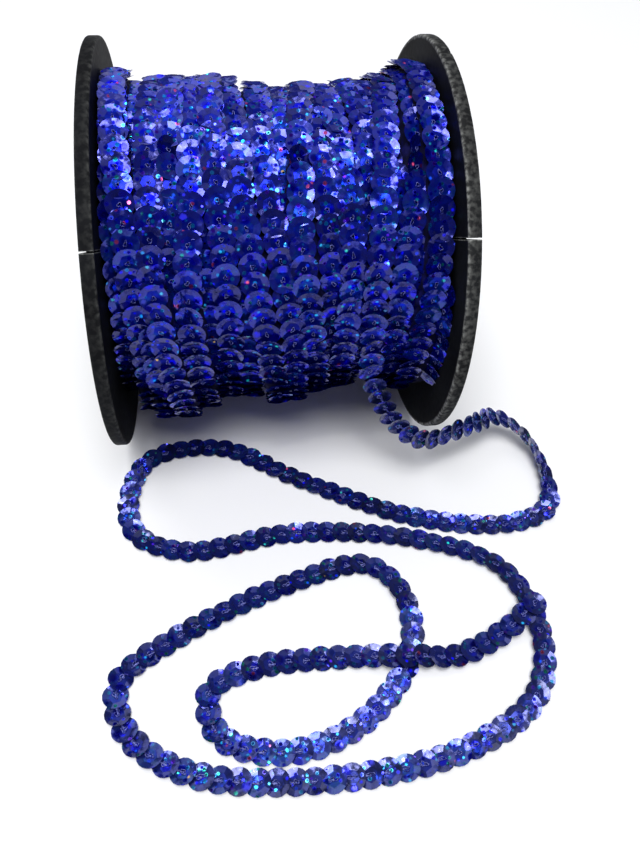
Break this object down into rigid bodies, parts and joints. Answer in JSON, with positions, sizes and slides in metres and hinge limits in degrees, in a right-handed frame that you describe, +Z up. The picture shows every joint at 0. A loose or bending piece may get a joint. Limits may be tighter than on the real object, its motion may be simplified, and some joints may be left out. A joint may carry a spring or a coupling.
{
  "type": "spool of sequin trim",
  "caption": "Black plastic spool with round flanges, wound full of narrow blue sequin trim, its loose end lying in loops in front.",
  "frame": {"origin": "on the floor, straight under the middle of the spool's axis", "axes": "+X along the spool's axis to the flange beside which the loose end leaves, -Y to the side where the loose end lies, +Z up"},
  "size_m": [0.1219, 0.1735, 0.1018],
  "materials": {
    "black_plastic": "satin, worn grey along the rims",
    "sequins": "shiny holographic film sequins sewn on thread"
  },
  "bodies": {
    "root": {"flange_left": "black_plastic", "flange_right": "black_plastic", "barrel": "black_plastic", "winding": "sequins", "trim_tail": "sequins"}
  },
  "joints": []
}
